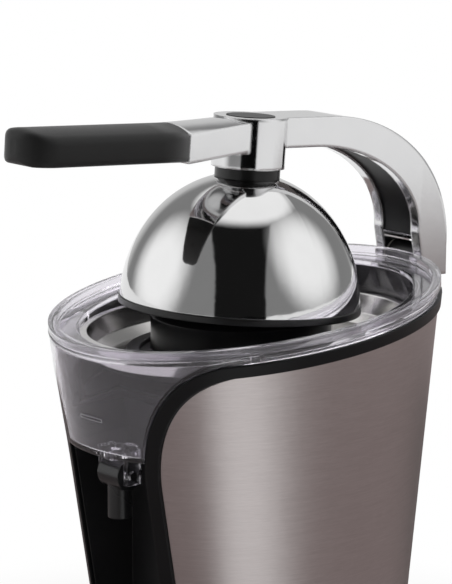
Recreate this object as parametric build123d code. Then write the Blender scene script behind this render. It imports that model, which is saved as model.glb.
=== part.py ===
from build123d import *
import math
import os

# Electric lever citrus juicer: +Z up, spout and grip at the front (-Y), hinge at the rear (+Y).
# The pieces are drawn about the spindle and moved at the end, so that the origin is on the table
# under the middle of the whole juicer. Lengths are in millimetres, angles in degrees.

SPINDLE_Y = 5.93

# Bowl rim: an ellipse on a plane that is higher at the rear
RIM_Z = 207.0
RIM_SLOPE = 5.0
RIM_HALF_LENGTH = 97.0
RIM_HALF_WIDTH = 78.5
RIM_CENTRE_Y = 3.5
LIP_WIDTH = 4.0
LIP_HEIGHT = 3.5
SKIRT_INSET = 1.5
BOWL_WALL = 2.2
LEDGE_DEPTH = 4.0
LEDGE_WIDTH = 9.0
BOWL_DEPTH = 34.0
TOWER_BORE_R = 9.0
TOWER_TOP_Z = RIM_Z - 14.5

# Housing: a drafted ellipse that stands on the plinth
BODY_REF_Z = RIM_Z - 8.0
BODY_HIGH_Z = RIM_Z + 20.0
BODY_INSET = 1.5
FRONT_DRAFT = 9.0
REAR_DRAFT = 5.5
SIDE_DRAFT = 5.5
WRAP_THICKNESS = 0.8
SKIN_GAP = 0.05
SHELL_WALL = 2.5
TRIM_DROP = 7.5
TRIM_WIDTH = 5.5
TRIM_PROUD = 1.2
DECK_DROP = 10.0
DECK_Z = RIM_Z - BOWL_DEPTH - DECK_DROP
DECK_THICKNESS = 3.0

# Neckline: the front opening of the housing, a quarter ellipse on each side
NECK_EDGE_X = 25.0
NECK_SPAN_X = 41.0
NECK_LOW_Z = RIM_Z - 71.0
NECK_HEIGHT = 59.5
CHANNEL_BACK_Y = -44.0
CHANNEL_WALL = 2.4

# Pouch of the bowl, behind the neckline, and its outlet
POUCH_BOTTOM_Z = NECK_LOW_Z + 12.5
POUCH_INSET = -1.6
POUCH_GAP = 0.4
POUCH_BACK_GAP = 1.5
OUTLET_Y = RIM_CENTRE_Y - RIM_HALF_LENGTH + 21.5
OUTLET_BORE_R = 3.5
OUTLET_NECK_R = 8.0
OUTLET_NECK_LENGTH = 3.0
SPOUT_DRUM_R = 7.0
SPOUT_LENGTH = 20.0
SPOUT_TUBE_R = 5.5
SPOUT_GAP = 0.4
SPOUT_EAR = 2.4
TRUNNION_R = 2.0

# Reamer
REAMER_R = 41.0
REAMER_BOTTOM_Z = RIM_Z - 22.5
REAMER_SKIRT = 15.5
REAMER_TIP_Z = REAMER_BOTTOM_Z + 59.5
REAMER_WALL = 3.0
REAMER_STEP = 4.0
REAMER_SWELL = 7.0
NOSE_R = 6.0
REAMER_RIBS = 12
RIB_HEIGHT = 1.6
RIB_THICKNESS = 3.0

# Strainer and sieve
SHEET = 0.8
SIDE_FIT = 0.5
PAN_RIM_Z = RIM_Z - 11.5
PAN_DEPTH = 13.0
PAN_FLOOR_Z = PAN_RIM_Z - PAN_DEPTH
PAN_FLANGE = 2.2
PAN_TAPER = 8.0
PAN_BEND = 0.3
PAN_LEDGE = 2.0
PAN_LEDGE_HEIGHT = 3.0
SIEVE_OPENING_R = REAMER_R + 7.0
SIEVE_FLANGE_R = SIEVE_OPENING_R + 4.0
SIEVE_DISC_Z = PAN_FLOOR_Z - 2.3
SIEVE_WALL = 1.6
SIEVE_SLOTS = 28
SIEVE_SLOT_WIDTH = 2.0
SIEVE_LIP = 1.2
SIEVE_FIT = 0.2
SLOT_MARGIN = 4.0
TOWER_GAP = 0.8

# Plinth, cover and feet
PLINTH_TOP_Z = 16.0
PLINTH_BOTTOM_Z = 4.0
PLINTH_HALF_LENGTH = 106.0
PLINTH_HALF_WIDTH = 74.0
PLINTH_CENTRE_Y = -10.0
PLINTH_WALL = 3.0
COVER_THICKNESS = 2.5
COVER_GAP = 0.2
FOOT_R = 9.0
FOOT_RECESS = 1.0
FOOT_X = 42.0
FOOT_REACH_Y = 66.0
SCREW_R = 1.6
SCREW_HEAD_R = 3.2
SCREW_HEAD = 2.0
SCREW_GAP = 0.2
SCREW_TIP = 2.0
SCREW_SUNK = 0.4
SOCKET_R = 1.5
SOCKET_DEPTH = 1.2
SCREW_BOSS_R = 4.5
SCREW_X = 30.0
SCREW_REACH_Y = 84.0

# Spindle, gears and motor
HALF_WIDTH_IN_MODULES = 62.8
MODULE = RIM_HALF_WIDTH / HALF_WIDTH_IN_MODULES
PRESSURE_ANGLE = 25.0
BACKLASH = 0.3
ADDENDUM = 0.9 * MODULE
DEDENDUM = 1.2 * MODULE
FLANK_STEPS = 3
OUTPUT_TEETH = 46
IDLER_PINION_TEETH = 14
IDLER_TEETH = 40
MOTOR_PINION_TEETH = 12
MOTOR_Y = 20.8 * MODULE
SHAFT_R = 4.0
RUN_CLEARANCE = 0.05
PRESS_TRAVEL = 2.0
OUTPUT_FACE = 10.0
OUTPUT_DROP = 20.0
IDLER_FACE = 8.0
AXLE_R = 2.5
GEAR_GAP = 1.5
PLATE_THICKNESS = 4.0
PLATE_HALF_WIDTH = 36.0 * MODULE
PLATE_FRONT_Y = -30.0
PLATE_REAR_Y = 60.0
PILLAR_R = 4.0
PILLAR_INSET = 6.0
CUP_R = 6.4 * MODULE
CUP_HEIGHT = 9.0
CUP_LIFT = 4.5
CUP_FLOOR = 2.0
SPRING_GAP = 0.6
GUIDE_WALL = 1.52 * MODULE
MOTOR_R = 24.8 * MODULE
MOTOR_HEIGHT = 70.0
MOTOR_WALL = 2.0
ROTOR_R = 15.0
ROTOR_HEIGHT = 40.0
AIR_GAP = 0.6
MOTOR_SHAFT_R = 3.0
SWITCH_Y = -22.0
SWITCH_HALF_WIDTH = 10.0
SWITCH_HALF_DEPTH = 5.0
SWITCH_GAP = 0.5
PLUNGER_R = 2.0
PLUNGER_LENGTH = 5.0
FINGER_HALF_WIDTH = 4.0
BUSH_WALL = 3.0
BUSH_LENGTH = 12.0
BUSH_ABOVE_DECK = 5.0
SEAL_HEIGHT = 3.0
SEAL_GAP = 0.6
KEY_START = 12.0
KEY_END = 30.0
KEY_DEPTH = 1.0

# Arm, drawn pressed down, with the dome's axis upright
HINGE_GAP = 8.0
HINGE_Y = RIM_CENTRE_Y + RIM_HALF_LENGTH + HINGE_GAP
HINGE_Z = RIM_Z + 5.0
ARM_RAISED = 4.5
PIN_R = 3.0
CHEEK = 5.5
LEG_HALF_WIDTH = 15.0
BEAM_HALF_WIDTH = 12.0
LEG_OUTER = 9.3
LEG_INNER = 7.5
LEG_LEAN = 10.9
LEG_REAR = 8.3
LEG_TOP_Y = HINGE_Y - LEG_LEAN
ARM_TOP_Z = HINGE_Z + 69.0
BEAM_HEIGHT = 13.7
ARCH_START_Y = 41.5
ARCH_SPAN_Y = HINGE_Y + LEG_REAR - ARCH_START_Y
ARCH_HEIGHT = 62.5
INNER_START_Y = 30.5
INNER_HEIGHT = 42.5
ARM_SKIN = 4.0
LINER_RECESS = 1.2
LINER_THICKNESS = 1.6
KNUCKLE_GAP = 0.5
KNUCKLE_R = 6.5
PIN_REACH = 13.0

# Grip and its tang
GRIP_START_Y = -48.5
GRIP_END_Y = -134.0
GRIP_HALF_WIDTH = 15.0
GRIP_BOTTOM_Z = ARM_TOP_Z - 18.5
GRIP_SIDE = 12.8
GRIP_CROWN = 3.6
GRIP_CORNER_R = 14.0
TANG_HALF_WIDTH = 6.0
TANG_HEIGHT = 6.0
TANG_LENGTH = 50.0
TANG_GAP = 0.1
GRIP_SCREW_REACH = 35.0

# Dome and boss
DOME_R = REAMER_R + 13.5
DOME_HEIGHT = 59.5
DOME_BASE_Z = REAMER_BOTTOM_Z + 11.5
RING_R = DOME_R + 0.5
RING_HEIGHT = 3.0
DOME_SHEET = 1.0
LINER_WALL = 2.0
LINER_CROWN = 3.0
HEAD_R = 9.0
HEAD_TOP_Z = DOME_BASE_Z + DOME_HEIGHT - 7.1
STEM_TOP_Z = ARM_TOP_Z - 11.0
NECK_CROWN = 1.5
NECK_HALF_WIDTH = 12.0
COLLAR_R = 14.75
COLLAR_Z = DOME_BASE_Z + DOME_HEIGHT - 2.5
COLLAR_HEIGHT = 5.0
BOSS_BOTTOM_Z = COLLAR_Z + COLLAR_HEIGHT
BOSS_R = 16.7
STEM_R = 5.0
CAP_R = 11.0
CAP_PROUD = 0.2
CAP_SEAT = 1.4

# Hinge bracket and cord gland at the rear
BRACKET_LOW_Z = DECK_Z - 45.0
BRACKET_DEPTH = 7.0
BRACKET_TRIM_GAP = 0.3
BRACKET_SCREW_Z = (BRACKET_LOW_Z + 12.0, BRACKET_LOW_Z + 37.0)
GLAND_Z = 34.0
GLAND_R = 5.0
GLAND_FLANGE_R = 8.0
GLAND_FLANGE = 2.0
GLAND_STAND_OFF = 1.0
GLAND_TAIL = 3.0

RIM_PLANE = Plane(origin=(0, 0, RIM_Z), x_dir=(1, 0, 0),
                  z_dir=(0, -math.sin(math.radians(RIM_SLOPE)), math.cos(math.radians(RIM_SLOPE))))
TRIM_PLANE = RIM_PLANE.offset(-TRIM_DROP)
FAR = 400.0
OVER = 1.0
HINGE = Axis((0, HINGE_Y, HINGE_Z), (-1, 0, 0))


# Shapes that several pieces share
def rod(radius, low, high, x=0.0, y=0.0):
    """Upright cylinder between two heights."""
    return Pos(x, y, (low + high) / 2) * Cylinder(radius, high - low)


def tube(outer, inner, low, high, x=0.0, y=0.0):
    return rod(outer, low, high, x, y) - rod(inner, low - OVER, high + OVER, x, y)


def cross_rod(radius, left, right, y, z):
    """Cylinder along X."""
    return Pos((left + right) / 2, y, z) * Rot(0, 90, 0) * Cylinder(radius, right - left)


def long_rod(radius, front, rear, z):
    """Cylinder along Y on the centre plane."""
    return Pos(0, (front + rear) / 2, z) * Rot(90, 0, 0) * Cylinder(radius, rear - front)


def box_between(x, y, z):
    """Box from three (low, high) pairs."""
    centre = [(low + high) / 2 for low, high in (x, y, z)]
    return Pos(*centre) * Box(x[1] - x[0], y[1] - y[0], z[1] - z[0])


def rim_slab(inset, top, bottom):
    """Elliptical slab on the rim plane, from one depth below the lip to another."""
    oval = Ellipse(RIM_HALF_WIDTH - inset, RIM_HALF_LENGTH - inset)
    face = RIM_PLANE * Pos(0, RIM_CENTRE_Y, -bottom) * oval
    return extrude(face, bottom - top)


def body_section(z, inset):
    """Housing ellipse at one height."""
    drop = BODY_REF_Z - z
    front = math.tan(math.radians(FRONT_DRAFT))
    rear = math.tan(math.radians(REAR_DRAFT))
    half_length = RIM_HALF_LENGTH - BODY_INSET - drop * (front + rear) / 2 - inset
    half_width = RIM_HALF_WIDTH - BODY_INSET - drop * math.tan(math.radians(SIDE_DRAFT)) - inset
    centre_y = RIM_CENTRE_Y + drop * (front - rear) / 2
    return Pos(0, centre_y, z) * Ellipse(half_width, half_length)


def body_solid(inset, low=PLINTH_TOP_Z):
    """Housing form, run up past the rim so that each piece can cut it off."""
    return loft([body_section(low, inset), body_section(BODY_HIGH_Z, inset)], ruled=True)


def body_rear_y(z):
    """Rear of the steel wrap on the centre plane."""
    drop = BODY_REF_Z - z
    return RIM_CENTRE_Y + RIM_HALF_LENGTH - BODY_INSET - drop * math.tan(math.radians(REAR_DRAFT))


def below(plane, drop=0.0):
    """Everything below a plane, moved down along its normal."""
    return plane * Pos(0, 0, -drop - FAR / 2) * Box(FAR, FAR, FAR)


def neck_prism(offset, back_y, low=-OVER):
    """The front opening, widened by an offset and run out to the front."""
    centre_x = NECK_EDGE_X + NECK_SPAN_X
    edge_x = NECK_EDGE_X + offset
    top_z = NECK_LOW_Z + NECK_HEIGHT - offset
    arc = ellipse_arc((centre_x, NECK_LOW_Z), NECK_SPAN_X - offset, NECK_HEIGHT - offset, 90, 90)
    side = Polyline((edge_x, NECK_LOW_Z), (edge_x, low), (0, low))
    middle = Polyline((0, low), (0, FAR), (centre_x, FAR), (centre_x, top_z))
    half = outline(arc, side, middle)
    face = Plane.XZ.offset(-back_y) * (half + mirror(half, Plane.YZ))
    return extrude(face, FAR / 2)


def ellipse_arc(centre, x_radius, y_radius, start, size):
    return EllipticalCenterArc(centre, x_radius, y_radius, start, arc_size=size)


def outline(*curves):
    """Face inside curves that join end to end."""
    return make_face([edge for curve in curves for edge in curve.edges()])


def spun(*curves):
    """Solid turned about the spindle from a closed outline of radius and height."""
    return revolve(Plane.XZ * outline(*curves), Axis.Z)


# Body of the juicer, from the table up
def plinth_oval(inset):
    centre = Pos(0, PLINTH_CENTRE_Y, PLINTH_BOTTOM_Z)
    return centre * Ellipse(PLINTH_HALF_WIDTH - inset, PLINTH_HALF_LENGTH - inset)


def plinth():
    height = PLINTH_TOP_Z - PLINTH_BOTTOM_Z
    block = extrude(plinth_oval(0), height)
    block = fillet(block.edges().group_by(Axis.Z)[-1], PLINTH_WALL)
    shell = block - extrude(plinth_oval(PLINTH_WALL), height - PLINTH_WALL)
    for x, y in screw_places():
        shell += rod(SCREW_BOSS_R, PLINTH_BOTTOM_Z + COVER_THICKNESS, PLINTH_TOP_Z - OVER, x, y)
        shell -= rod(SCREW_R, PLINTH_BOTTOM_Z, PLINTH_TOP_Z - PLINTH_WALL, x, y)
    return shell


def screw_places():
    return [(x, PLINTH_CENTRE_Y + y) for x in (-SCREW_X, SCREW_X) for y in (-SCREW_REACH_Y, SCREW_REACH_Y)]


def foot_places():
    return [(x, PLINTH_CENTRE_Y + y) for x in (-FOOT_X, FOOT_X) for y in (-FOOT_REACH_Y, FOOT_REACH_Y)]


def bottom_cover():
    cover = extrude(plinth_oval(PLINTH_WALL + COVER_GAP), COVER_THICKNESS)
    for x, y in foot_places():
        cover -= rod(FOOT_R, PLINTH_BOTTOM_Z - OVER, PLINTH_BOTTOM_Z + FOOT_RECESS, x, y)
    for x, y in screw_places():
        cover_top = PLINTH_BOTTOM_Z + COVER_THICKNESS
        cover -= rod(SCREW_R + SCREW_GAP, PLINTH_BOTTOM_Z - OVER, cover_top + OVER, x, y)
    return cover


def rubber_feet():
    return [rod(FOOT_R, 0, PLINTH_BOTTOM_Z + FOOT_RECESS, x, y) for x, y in foot_places()]


def base_screws():
    screws = []
    for x, y in screw_places():
        head = rod(SCREW_HEAD_R, PLINTH_BOTTOM_Z - SCREW_HEAD, PLINTH_BOTTOM_Z, x, y)
        shank = rod(SCREW_R, PLINTH_BOTTOM_Z, PLINTH_TOP_Z - PLINTH_WALL, x, y)
        socket = Pos(x, y, PLINTH_BOTTOM_Z - SCREW_HEAD) * extrude(RegularPolygon(SOCKET_R, 6), SOCKET_DEPTH)
        screws.append(head + shank - socket)
    return screws


def bracket_screw_rods(radius):
    """Screw lines that run from the bracket into the housing."""
    rods = []
    for z in BRACKET_SCREW_Z:
        start = body_rear_y(z) - WRAP_THICKNESS - SKIN_GAP - SHELL_WALL - SCREW_TIP
        rods.append(long_rod(radius, start, bracket_seat_y(z), z))
    return rods


def bracket_seat_y(z):
    """Seat of a screw head, sunk into the sloping rear face of the bracket."""
    low_y = body_rear_y(BRACKET_LOW_Z) + BRACKET_DEPTH
    top_z = HINGE_Z - 2 * KNUCKLE_R
    share = (z - BRACKET_LOW_Z) / (top_z - BRACKET_LOW_Z)
    return low_y + share * (HINGE_Y + KNUCKLE_R - low_y) - SCREW_HEAD


def gland_rod(radius, front, rear):
    """Rod along Y about the cord's way in, from one distance off the wrap to another."""
    y = body_rear_y(GLAND_Z)
    return long_rod(radius, y + front, y + rear, GLAND_Z)


def housing_shell():
    outer = WRAP_THICKNESS + SKIN_GAP
    inner = outer + SHELL_WALL
    wall = body_solid(outer) - body_solid(inner, PLINTH_TOP_Z - OVER)
    for cutter in bracket_screw_rods(SCREW_R + SCREW_GAP):
        wall -= cutter
    wall -= gland_rod(GLAND_R, -FAR / 4, GLAND_FLANGE)
    wall = wall & below(TRIM_PLANE, SKIN_GAP)
    wall -= neck_prism(0, 0)
    deck = body_solid(outer) & box_between((-FAR, FAR), (-FAR, FAR), (DECK_Z - DECK_THICKNESS, DECK_Z))
    pocket = neck_prism(CHANNEL_WALL, CHANNEL_BACK_Y + CHANNEL_WALL, PLINTH_TOP_Z)
    pocket = pocket & body_solid(outer) & box_between((-FAR, FAR), (-FAR, FAR), (PLINTH_TOP_Z, DECK_Z))
    shell = wall + deck + pocket - neck_prism(0, CHANNEL_BACK_Y)
    bush_r = SHAFT_R + RUN_CLEARANCE + BUSH_WALL
    low, high = bush_span()
    shell += rod(bush_r + BUSH_WALL, low, high)
    return shell - rod(bush_r, low - OVER, high + OVER)


def bush_span():
    high = DECK_Z + BUSH_ABOVE_DECK
    return high - BUSH_LENGTH, high


def steel_wrap():
    wrap = body_solid(0) - body_solid(WRAP_THICKNESS)
    wrap = wrap & below(TRIM_PLANE, TRIM_WIDTH + SKIN_GAP)
    wrap -= neck_prism(TRIM_WIDTH + SKIN_GAP, 0)
    for cutter in bracket_screw_rods(SCREW_R + SCREW_GAP):
        wrap -= cutter
    return wrap - gland_rod(GLAND_R, -FAR / 4, GLAND_FLANGE)


def top_trim():
    band = body_solid(-TRIM_PROUD) - body_solid(WRAP_THICKNESS)
    top = (band & below(TRIM_PLANE)) - below(TRIM_PLANE, TRIM_WIDTH)
    front = band & below(TRIM_PLANE) & neck_prism(TRIM_WIDTH, 0)
    return top + front - neck_prism(0, 0)


def juice_bowl():
    lip = rim_slab(0, 0, LIP_HEIGHT)
    skirt = rim_slab(SKIRT_INSET, 0, 4 * LIP_HEIGHT) - below(TRIM_PLANE, -SKIN_GAP)
    recess = rim_slab(LIP_WIDTH, -OVER, LEDGE_DEPTH)
    inner_inset = LIP_WIDTH + LEDGE_WIDTH
    well = rim_slab(inner_inset, -OVER, BOWL_DEPTH)
    seat_z = PAN_RIM_Z - SHEET
    seat = box_between((-FAR, FAR), (-FAR, FAR), (seat_z - PAN_LEDGE_HEIGHT, seat_z))
    well -= (well & seat) - rim_slab(inner_inset + PAN_LEDGE, -OVER, BOWL_DEPTH + OVER)
    well_outer = rim_slab(inner_inset - BOWL_WALL, LEDGE_DEPTH, BOWL_DEPTH + BOWL_WALL)
    under_ledge = rim_slab(SKIRT_INSET + BOWL_WALL, LEDGE_DEPTH + BOWL_WALL, 6 * LIP_HEIGHT)
    rim_part = lip + skirt - under_ledge + well_outer
    back_y = CHANNEL_BACK_Y - POUCH_BACK_GAP
    ceiling = below(RIM_PLANE, LEDGE_DEPTH)
    pouch = body_solid(POUCH_INSET, POUCH_BOTTOM_Z) & neck_prism(-POUCH_GAP, back_y) & ceiling
    inside = body_solid(POUCH_INSET + BOWL_WALL, POUCH_BOTTOM_Z + BOWL_WALL)
    inside = inside & neck_prism(-POUCH_GAP - BOWL_WALL, back_y - BOWL_WALL)
    inside = inside & below(RIM_PLANE, LEDGE_DEPTH + BOWL_WALL)
    tower = rod(TOWER_BORE_R + BOWL_WALL, DECK_Z, TOWER_TOP_Z) - below(RIM_PLANE, BOWL_DEPTH + BOWL_WALL)
    bowl = rim_part + pouch - inside - recess - well
    bowl += tower + outlet_neck()
    bowl -= rod(TOWER_BORE_R, DECK_Z, TOWER_TOP_Z + OVER)
    neck_low = POUCH_BOTTOM_Z - OUTLET_NECK_LENGTH
    return bowl - rod(OUTLET_BORE_R, neck_low - OVER, POUCH_BOTTOM_Z + BOWL_WALL + OVER, 0, OUTLET_Y)


def spout_axis_z():
    return POUCH_BOTTOM_Z - OUTLET_NECK_LENGTH - SPOUT_GAP - SPOUT_DRUM_R


def ear_inner_x():
    return SPOUT_DRUM_R + SPOUT_GAP


def outlet_neck():
    """Short neck below the pouch, with an ear on each side for the spout's trunnions."""
    neck = rod(OUTLET_NECK_R, POUCH_BOTTOM_Z - OUTLET_NECK_LENGTH, POUCH_BOTTOM_Z + OVER, 0, OUTLET_Y)
    ear_low = spout_axis_z() - 2 * TRUNNION_R
    for side in (-1, 1):
        span = sorted((side * ear_inner_x(), side * (ear_inner_x() + SPOUT_EAR)))
        ear_y = (OUTLET_Y - 2 * TRUNNION_R, OUTLET_Y + 2 * TRUNNION_R)
        neck += box_between(span, ear_y, (ear_low, POUCH_BOTTOM_Z + OVER))
    bore = TRUNNION_R + RUN_CLEARANCE
    return neck - cross_rod(bore, -FAR / 8, FAR / 8, OUTLET_Y, spout_axis_z())


def spout():
    z = spout_axis_z()
    drum = cross_rod(SPOUT_DRUM_R, -SPOUT_DRUM_R, SPOUT_DRUM_R, OUTLET_Y, z)
    trunnion_reach = ear_inner_x() + SPOUT_EAR
    body = drum + rod(SPOUT_TUBE_R, z - SPOUT_LENGTH, z, 0, OUTLET_Y)
    body += cross_rod(TRUNNION_R, -trunnion_reach, trunnion_reach, OUTLET_Y, z)
    return body - rod(OUTLET_BORE_R, z - SPOUT_LENGTH - OVER, z + SPOUT_DRUM_R + OVER, 0, OUTLET_Y)


def level_oval(inset, z):
    """Level ellipse inside the bowl, about the middle of the strainer's rim."""
    slope = math.radians(RIM_SLOPE)
    drop = RIM_Z + RIM_CENTRE_Y * math.sin(slope) - PAN_RIM_Z
    centre_y = RIM_CENTRE_Y * math.cos(slope) + drop * math.tan(slope)
    return Pos(0, centre_y, z) * Ellipse(RIM_HALF_WIDTH - inset, RIM_HALF_LENGTH - inset)


def pan_form(inset, floor_z, top_z):
    """Dish whose wall is steep at the rim and bends in towards the floor."""
    bend_z = floor_z + PAN_BEND * PAN_DEPTH
    sections = [level_oval(inset + PAN_TAPER, floor_z), level_oval(inset + PAN_BEND * PAN_TAPER, bend_z),
                level_oval(inset, top_z)]
    return loft(sections, ruled=True)


def strainer():
    flange_inset = LIP_WIDTH + LEDGE_WIDTH + SIDE_FIT
    wall_inset = flange_inset + PAN_FLANGE
    pan = extrude(level_oval(flange_inset, PAN_RIM_Z - SHEET), SHEET)
    pan += pan_form(wall_inset, PAN_FLOOR_Z - SHEET, PAN_RIM_Z)
    pan -= pan_form(wall_inset + SHEET, PAN_FLOOR_Z, PAN_RIM_Z + OVER)
    return pan - rod(SIEVE_OPENING_R, SIEVE_DISC_Z, PAN_RIM_Z)


def sieve_ring():
    wall_r = SIEVE_OPENING_R - SIEVE_FIT
    top_z = PAN_FLOOR_Z + SIEVE_LIP
    ring = rod(SIEVE_FLANGE_R, PAN_FLOOR_Z, top_z) + rod(wall_r, SIEVE_DISC_Z, top_z)
    ring -= rod(wall_r - SIEVE_WALL, SIEVE_DISC_Z + SIEVE_WALL, top_z + OVER)
    hole_r = TOWER_BORE_R + BOWL_WALL + TOWER_GAP
    ring -= rod(hole_r, SIEVE_DISC_Z - OVER, top_z)
    inner_r, outer_r = hole_r + SLOT_MARGIN, wall_r - SIEVE_WALL - SLOT_MARGIN
    slot = Box(outer_r - inner_r, SIEVE_SLOT_WIDTH, 4 * SIEVE_WALL)
    slot = Pos((inner_r + outer_r) / 2, 0, SIEVE_DISC_Z) * slot
    return ring - [slot.rotate(Axis.Z, 360 * i / SIEVE_SLOTS) for i in range(SIEVE_SLOTS)]


# Drive under the deck
def gear(teeth, low, high, x, y, phase, bore):
    """Spur gear with involute flanks; phase is the direction of one tooth's centre, in radians."""
    pitch_r = MODULE * teeth / 2
    pressure = math.radians(PRESSURE_ANGLE)
    base_r = pitch_r * math.cos(pressure)
    tip_r = pitch_r + ADDENDUM
    root_r = pitch_r - DEDENDUM
    half_tooth = math.pi / (2 * teeth) - BACKLASH / (4 * pitch_r)
    start_r = max(base_r, root_r)

    def half_angle(radius):
        angle = math.acos(min(1.0, base_r / radius))
        return half_tooth + math.tan(pressure) - pressure - (math.tan(angle) - angle)

    radii = [start_r + (tip_r - start_r) * i / FLANK_STEPS for i in range(FLANK_STEPS + 1)]
    flank = [(root_r, half_angle(start_r))] if root_r < start_r else []
    flank += [(radius, half_angle(radius)) for radius in radii]
    points = []
    for i in range(teeth):
        centre = phase + 2 * math.pi * i / teeth
        rising = [(radius, centre - half) for radius, half in flank]
        falling = [(radius, centre + half) for radius, half in reversed(flank)]
        points += [(radius * math.cos(a), radius * math.sin(a)) for radius, a in rising + falling]
    face = Pos(x, y, low) * outline(Polyline(*points, close=True))
    return extrude(face, high - low) - rod(bore, low - OVER, high + OVER, x, y)


def idler_place():
    """Centre of the idler, at both gear centre distances."""
    to_spindle = MODULE * (OUTPUT_TEETH + IDLER_PINION_TEETH) / 2
    to_motor = MODULE * (IDLER_TEETH + MOTOR_PINION_TEETH) / 2
    y = (to_spindle ** 2 - to_motor ** 2 + MOTOR_Y ** 2) / (2 * MOTOR_Y)
    return math.sqrt(to_spindle ** 2 - y ** 2), y


IDLER_X, IDLER_Y = idler_place()
TO_IDLER = math.atan2(IDLER_Y, IDLER_X)
TO_MOTOR = math.atan2(MOTOR_Y - IDLER_Y, -IDLER_X)
OUTPUT_LOW = DECK_Z - OUTPUT_DROP
PINION_TOP = OUTPUT_LOW - PRESS_TRAVEL - 3 * GEAR_GAP / 2
IDLER_LOW = PINION_TOP - GEAR_GAP / 2 - IDLER_FACE
PLATE_TOP = IDLER_LOW - 2 * GEAR_GAP
PLATE_LOW = PLATE_TOP - PLATE_THICKNESS
CUP_LOW = PLATE_TOP + CUP_LIFT


def output_gear():
    return gear(OUTPUT_TEETH, OUTPUT_LOW, OUTPUT_LOW + OUTPUT_FACE, 0, 0, TO_IDLER, SHAFT_R)


def idler_gear():
    small_phase = TO_IDLER + math.pi + math.pi / IDLER_PINION_TEETH
    bore = AXLE_R + RUN_CLEARANCE
    top = OUTPUT_LOW + OUTPUT_FACE + GEAR_GAP
    small = gear(IDLER_PINION_TEETH, IDLER_LOW + IDLER_FACE, top, IDLER_X, IDLER_Y, small_phase, bore)
    large = gear(IDLER_TEETH, IDLER_LOW, IDLER_LOW + IDLER_FACE, IDLER_X, IDLER_Y, TO_MOTOR, bore)
    return small + large


def idler_axle():
    shoulder = tube(2 * AXLE_R, AXLE_R, PLATE_TOP, IDLER_LOW - SKIN_GAP, IDLER_X, IDLER_Y)
    return rod(AXLE_R, PLATE_LOW, OUTPUT_LOW + OUTPUT_FACE + 2 * GEAR_GAP, IDLER_X, IDLER_Y) + shoulder


def motor_pinion():
    phase = TO_MOTOR + math.pi + math.pi / MOTOR_PINION_TEETH
    return gear(MOTOR_PINION_TEETH, IDLER_LOW - GEAR_GAP / 2, PINION_TOP, 0, MOTOR_Y, phase, MOTOR_SHAFT_R)


def motor_span():
    return PLATE_LOW - MOTOR_HEIGHT, PLATE_LOW


def motor_can():
    low, high = motor_span()
    can = rod(MOTOR_R, low, high, 0, MOTOR_Y)
    can -= rod(MOTOR_R - MOTOR_WALL, low + MOTOR_WALL, high - MOTOR_WALL, 0, MOTOR_Y)
    can += rod(3 * MOTOR_SHAFT_R, low + MOTOR_WALL, low + 4 * MOTOR_WALL, 0, MOTOR_Y)
    return can - rod(MOTOR_SHAFT_R + RUN_CLEARANCE, low + MOTOR_WALL, high + OVER, 0, MOTOR_Y)


def rotor_span():
    low, high = motor_span()
    middle = (low + high) / 2
    return middle - ROTOR_HEIGHT / 2, middle + ROTOR_HEIGHT / 2


def stator():
    low, high = rotor_span()
    return tube(MOTOR_R - MOTOR_WALL - SKIN_GAP, ROTOR_R + AIR_GAP, low, high, 0, MOTOR_Y)


def rotor():
    low, high = rotor_span()
    foot = motor_span()[0] + MOTOR_WALL + SKIN_GAP
    return rod(ROTOR_R, low, high, 0, MOTOR_Y) + rod(MOTOR_SHAFT_R, foot, PINION_TOP, 0, MOTOR_Y)


def pillar_places():
    ys = (PLATE_FRONT_Y + PILLAR_INSET, PLATE_REAR_Y - PILLAR_INSET)
    return [(x, y) for x in (PILLAR_INSET - PLATE_HALF_WIDTH, PLATE_HALF_WIDTH - PILLAR_INSET) for y in ys]


def gear_plate():
    span_y = (PLATE_FRONT_Y, PLATE_REAR_Y)
    plate = box_between((-PLATE_HALF_WIDTH, PLATE_HALF_WIDTH), span_y, (PLATE_LOW, PLATE_TOP))
    for x, y in pillar_places():
        plate += rod(PILLAR_R, PLATE_TOP - OVER, DECK_Z - DECK_THICKNESS, x, y)
    guide_r = CUP_R + RUN_CLEARANCE
    guide_top = PLATE_TOP + CUP_HEIGHT
    plate += tube(guide_r + GUIDE_WALL, guide_r, PLATE_TOP, guide_top)
    plate -= rod(AXLE_R, PLATE_LOW - OVER, guide_top, IDLER_X, IDLER_Y)
    return plate - rod(3 * MOTOR_SHAFT_R, PLATE_LOW - OVER, guide_top, 0, MOTOR_Y)


def finger_low():
    return PLATE_TOP + CUP_HEIGHT + PRESS_TRAVEL + SWITCH_GAP


def thrust_cup():
    top = CUP_LOW + CUP_HEIGHT
    cup = rod(CUP_R, CUP_LOW, top)
    half = FINGER_HALF_WIDTH
    finger = box_between((-half, half), (SWITCH_Y - half, 0), (finger_low(), top))
    return cup + finger - rod(SHAFT_R + RUN_CLEARANCE, CUP_LOW + CUP_FLOOR, top + OVER)


def switch_plunger():
    return rod(PLUNGER_R, finger_low() - PLUNGER_LENGTH, finger_low(), 0, SWITCH_Y)


def microswitch():
    top = finger_low() - PRESS_TRAVEL - SWITCH_GAP
    span_y = (SWITCH_Y - SWITCH_HALF_DEPTH, SWITCH_Y + SWITCH_HALF_DEPTH)
    case = box_between((-SWITCH_HALF_WIDTH, SWITCH_HALF_WIDTH), span_y, (PLATE_TOP, top))
    return case - rod(PLUNGER_R + SWITCH_GAP, top - PLUNGER_LENGTH, top + OVER, 0, SWITCH_Y)


def press_spring():
    return tube(CUP_R - SPRING_GAP, SHAFT_R, PLATE_TOP, CUP_LOW)


def spindle_bush():
    low, high = bush_span()
    return tube(SHAFT_R + RUN_CLEARANCE + BUSH_WALL, SHAFT_R + RUN_CLEARANCE, low, high)


def shaft_seal():
    low = bush_span()[1]
    return tube(TOWER_BORE_R - SEAL_GAP, SHAFT_R + SEAL_GAP / 2, low, low + SEAL_HEIGHT)


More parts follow.
